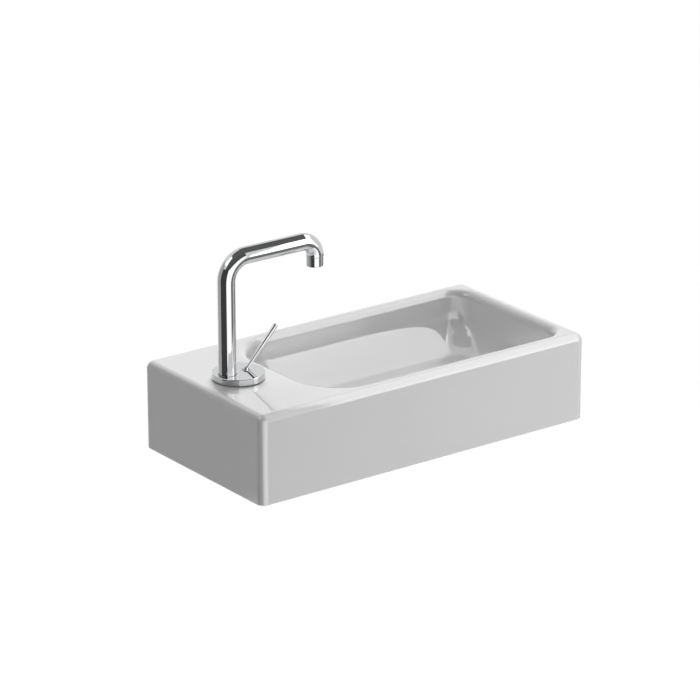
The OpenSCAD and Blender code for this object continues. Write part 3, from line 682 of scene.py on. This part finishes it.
def chrome():
    """Polished chrome, with faint smudges and the finest polishing marks."""
    t = Nodes("chrome")
    smudge = t.noise(45, 5, 0.65)
    t.set(Base_Color=t.blend(smudge, (0.56, 0.565, 0.575), (0.60, 0.603, 0.61)), Metallic=1.0,
          Roughness=t.ramp(smudge, 0.02, 0.055, 0.3, 0.8))
    t.bump(t.noise(60, 3), 0.06, 0.0001)
    return t.mat


def turned_metal(name, dark, light, metal_rough, thread=None):
    """Turned metal, with the turns of a thread between the two heights that thread names."""
    t = Nodes(name)
    pitch = 0.0023
    fine = t.noise(300, 3, 0.6, (0.4, 0.4, 9))
    t.set(Base_Color=t.blend(fine, dark, light), Metallic=1.0,
          Roughness=t.ramp(fine, metal_rough * 0.7, metal_rough * 1.35, 0.3, 0.7))
    height = t.math("MULTIPLY", fine, 0.04)
    if thread:
        z = t.axis("Z")
        turn = t.math("FRACT", t.math("MULTIPLY", z, 1 / pitch))
        ridges = t.math("ABSOLUTE", t.math("SUBTRACT", turn, 0.5))
        inside = t.math("MULTIPLY", t.math("GREATER_THAN", z, thread[0]),
                        t.math("LESS_THAN", z, thread[1]))
        height = t.math("ADD", height, t.math("MULTIPLY", ridges, inside))
    t.bump(height, 0.8, 0.0008)
    return t.mat


def rubber():
    """Black rubber with a dusty bloom and a faint grain."""
    t = Nodes("black_rubber")
    dust = t.noise(55, 5, 0.7)
    t.set(Base_Color=t.blend(dust, (0.018, 0.018, 0.019), (0.045, 0.045, 0.046)),
          Roughness=t.ramp(dust, 0.55, 0.8))
    t.bump(t.noise(900, 3), 0.3, 0.0001)
    return t.mat


def plastic(name, dark, light):
    """Moulded plastic, with a fine spark-eroded grain."""
    t = Nodes(name)
    flow = t.noise(30, 4)
    t.set(Base_Color=t.blend(flow, dark, light), Roughness=t.ramp(flow, 0.32, 0.5))
    t.bump(t.noise(1800, 2), 0.2, 0.00008)
    return t.mat


def disc_ceramic():
    """Ground technical ceramic."""
    t = Nodes("disc_ceramic")
    speck = t.noise(700, 4, 0.8)
    t.set(Base_Color=t.blend(speck, (0.74, 0.73, 0.70), (0.84, 0.83, 0.80)),
          Roughness=t.ramp(speck, 0.22, 0.4))
    t.bump(speck, 0.1, 0.00005)
    return t.mat


# ---------------------------------------------------------------- pieces on their bodies

# Two tones of each metal and plastic, and in metres the heights between which threads run
BRASS = (0.55, 0.39, 0.17), (0.68, 0.50, 0.24)
STEEL = (0.42, 0.42, 0.43), (0.58, 0.58, 0.59)
CHROMED = (0.54, 0.545, 0.555), (0.60, 0.603, 0.61)
WHITE = (0.70, 0.70, 0.67), (0.80, 0.80, 0.77)
GREY = (0.09, 0.09, 0.095), (0.14, 0.14, 0.145)
VALVE_THREAD, WASTE_THREAD = (0.0245, 0.055), (-0.0675, -0.0135)

finish = {
    "glaze": glaze(),
    "chrome": chrome(),
    "rubber": rubber(),
    "brass": turned_metal("machined_brass", *BRASS, 0.28, VALVE_THREAD),
    "steel": turned_metal("brushed_steel", *STEEL, 0.34),
    "plastic": plastic("white_plastic", *WHITE),
    "grey_plastic": plastic("grey_plastic", *GREY),
    "disc_ceramic": disc_ceramic(),
}
threads = turned_metal("chromed_thread", *CHROMED, 0.08, WASTE_THREAD)

for part in frame["record"]["subparts"]:
    node = frame["nodes"][part["node"]]
    mat = threads if part["node"] == "waste_body" else finish[part["material_slot"]]
    node.data.materials.clear()
    node.data.materials.append(mat)

for make, body, slot, nodes in (
        (ceramic, "basin", "glaze", ["basin_body"]),
        (base_plate, "basin", "chrome", ["tap_base"]),
        (spout, "spout", "chrome", ["spout_tube"]),
        (aerator, "spout", "chrome", ["aerator_housing"]),
        (lever, "lever", "chrome", ["lever_ball", "lever_rod"]),
        (plug, "plug", "chrome", ["plug_cap"])):
    piece = make()
    piece.data.materials.append(finish[slot])
    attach(piece, body)
    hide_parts(*nodes)


# ---------------------------------------------------------------- camera, light and studio

AIM = Vector((0, -125, 20.5))
AWAY = Vector((-0.5605, -0.7499, 0.3513)).normalized()
CAMERA_DISTANCE = 4.866
WHITE_LIGHT = (1, 1, 1, 1)
LONG_STEPS, SHORT_STEPS = 24, 12

lens = bpy.data.cameras.new("camera")
lens.lens, lens.sensor_width, lens.sensor_fit = 200.0, 36, "HORIZONTAL"
lens.shift_x, lens.shift_y = -0.0234, 0.0563
lens.clip_start, lens.clip_end = 0.1, 200
camera = bpy.data.objects.new("camera", lens)
camera.location = AIM * MM + AWAY * CAMERA_DISTANCE
camera.rotation_euler = AWAY.to_track_quat("Z", "Y").to_euler()
scene.collection.objects.link(camera)
scene.camera = camera


def seen(tree):
    """1 for the rays that see the background: straight from the camera, in gloss and through
    glass."""
    path = tree.nodes.new("ShaderNodeLightPath")
    total = path.outputs["Is Camera Ray"]
    for name in ("Is Glossy Ray", "Is Transmission Ray"):
        node = tree.nodes.new("ShaderNodeMath")
        node.operation = "MAXIMUM"
        tree.links.new(total, node.inputs[0])
        tree.links.new(path.outputs[name], node.inputs[1])
        total = node.outputs[0]
    return total


def world():
    """White where it is seen. It gives the object no light of its own."""
    studio = bpy.data.worlds.new("studio")
    scene.world = studio
    studio.use_nodes = True
    shade = studio.node_tree.nodes["Background"]
    shade.inputs["Color"].default_value = WHITE_LIGHT
    studio.node_tree.links.new(seen(studio.node_tree), shade.inputs["Strength"])


def matt(name, grey):
    """A material with no gloss and a white emission, and its shader."""
    mat = bpy.data.materials.new(name)
    mat.use_nodes = True
    shade = mat.node_tree.nodes["Principled BSDF"]
    shade.inputs["Base Color"].default_value = (grey, grey, grey, 1)
    shade.inputs["Roughness"].default_value = 1.0
    shade.inputs["Specular IOR Level"].default_value = 0.0
    shade.inputs["Emission Color"].default_value = WHITE_LIGHT
    return mat, shade


def floor():
    """A plain pale floor, as far below the basin as under a real one. Where it is seen, its own
    light brings it up to the background's white."""
    skin = Skin()
    drop, grey, own_light, n = 735, 0.45, 0.62, 64
    rows = [circle(AIM, r, FOOT - drop, n) for r in (0.01, 500, 1500, 4000, 12000, 40000)]
    skin.strip(rows, [[UP] * n for _ in rows])
    piece = skin.make("floor")
    mat, shade = matt("floor", grey)
    tree = mat.node_tree
    level = tree.nodes.new("ShaderNodeMapRange")
    level.inputs["To Max"].default_value = own_light
    tree.links.new(seen(tree), level.inputs["Value"])
    tree.links.new(level.outputs["Result"], shade.inputs["Emission Strength"])
    piece.data.materials.append(mat)


def light(name, kind, towards, power):
    """A light that shines on the basin from one side, and that no reflection shows."""
    data = bpy.data.lights.new(name, kind)
    data.energy = power
    item = bpy.data.objects.new(name, data)
    item.rotation_euler = Vector(towards).normalized().to_track_quat("Z", "Y").to_euler()
    item.visible_glossy = False
    scene.collection.objects.link(item)
    return item


def lamp(name, towards, distance, size, power):
    """A soft square lamp."""
    item = light(name, "AREA", towards, power)
    item.data.shape, item.data.size = "SQUARE", size
    item.location = AIM * MM + Vector(towards).normalized() * distance


def sun(name, towards, strength, angle):
    """A very soft, even light, the same over the whole floor."""
    light(name, "SUN", towards, strength).data.angle = radians(angle)


def glow(piece, level):
    """Makes a piece a softbox or, at a low level, a dark flag that only reflections see."""
    mat, shade = matt(piece.name, 0)
    shade.inputs["Emission Strength"].default_value = level
    piece.data.materials.append(mat)
    for kind in ("camera", "diffuse", "transmission", "volume_scatter", "shadow"):
        setattr(piece, "visible_" + kind, False)


def patch(name, centre, r, rows, level):
    """A softbox or flag that is part of a ball round centre, from rows of directions."""
    skin = Skin()
    skin.strip([[tuple(Vector(centre) + v * r) for v in row] for row in rows],
               [[tuple(-v) for v in row] for row in rows], closed=False)
    glow(skin.make(name), level)


def spread(ends, count):
    """count + 1 even steps from one end to the other."""
    return [ends[0] + (ends[1] - ends[0]) * k / count for k in range(count + 1)]


def card(name, centre, r, across, upward, level):
    """A patch from its range across, in degrees to the right of the camera's side, and its range
    upward."""
    back, side = Vector((-0.597, -0.803, 0)), Vector((0.803, -0.597, 0))
    patch(name, centre, r, [[(back * cos(a) + side * sin(a)) * cos(e) + Vector((0, 0, sin(e)))
                             for a in map(radians, spread(across, LONG_STEPS))]
                            for e in map(radians, spread(upward, SHORT_STEPS))], level)


def band(name, centre, r, outward, around, level):
    """A patch from its range outward along x, as a share of the radius, and its range around
    the x axis, in degrees up from the front."""
    patch(name, centre, r, [[Vector((x, -sqrt(1 - x * x) * cos(a), sqrt(1 - x * x) * sin(a)))
                             for x in spread(outward, SHORT_STEPS)]
                            for a in map(radians, spread(around, LONG_STEPS))], level)


def panel(name, rows, level):
    """A flag from pairs of left and right points."""
    skin = Skin()
    for (a, b), (c, d) in zip(rows, rows[1:]):
        way = (Vector(b) - Vector(a)).cross(Vector(c) - Vector(a))
        skin.face([a, b, d, c], [way] * 4)
    glow(skin.make(name), level)


world()
floor()
sun("key", (0.61, 0.55, 0.57), 2.7, 35)
sun("top", UP, 1.1, 90)
lamp("fill", (0.45, -1, -0.10), 1.8, 1.2, 15.5)
lamp("side", (-0.75, -0.6, 0.5), 2.2, 1.2, 3)

# what the chrome reflects, round the tap: name, distance, degrees across, degrees up, level
TAP_CENTRE = (-130, -123, 180)
for name, r, across, upward, level in (
        ("soft_front", 1400, (4, 62), (-30, 18), 1.7),
        ("lamp_left", 1400, (-92, -45), (38, 66), 2.3),
        ("flag_front", 1200, (-72, 0), (-36, 28), 0.07),
        ("flag_high", 1500, (-42, 61), (18, 60), 0.12),
        ("flag_left", 1450, (-122, -74), (-30, 34), 0.55),
        ("flag_top", 1500, (-180, 180), (60, 90), 0.15),
        ("flag_low", 1300, (62, 96), (-44, -13), 0.25),
        ("flag_under", 1300, (106, 172), (-48, -14), 0.35)):
    card(name, TAP_CENTRE, r, across, upward, level)

# the long softbox that the bowl reflects dims towards its upper end
SOFTBOX_AT, SOFTBOX_R, SOFTBOX_OUT = (0, -60, 20), 2400, (0.47, 0.74)
SOFTBOX_STRIPS, SOFTBOX_LOW, SOFTBOX_STEP = 14, -8, 8.5
SOFTBOX_LEVEL, SOFTBOX_LOSS = 3.0, 0.95
for k in range(SOFTBOX_STRIPS):
    low = SOFTBOX_LOW + SOFTBOX_STEP * k
    level = SOFTBOX_LEVEL - SOFTBOX_LOSS * (k / (SOFTBOX_STRIPS - 1)) ** 3
    band("softbox_%02d" % k, SOFTBOX_AT, SOFTBOX_R, SOFTBOX_OUT, (low, low + SOFTBOX_STEP), level)

# a curved flag hangs over the spout's run
FLAG_R, FLAG_X = 150, (-160, 6)
arc = [(SPOUT[1] - FLAG_R * cos(radians(a)), RUN_Z + FLAG_R * sin(radians(a)))
       for a in range(48, 129, 2)]
panel("flag_spout", [[(x, y, z) for x in FLAG_X] for y, z in arc], 0.15)

scene.view_settings.view_transform = "Standard"
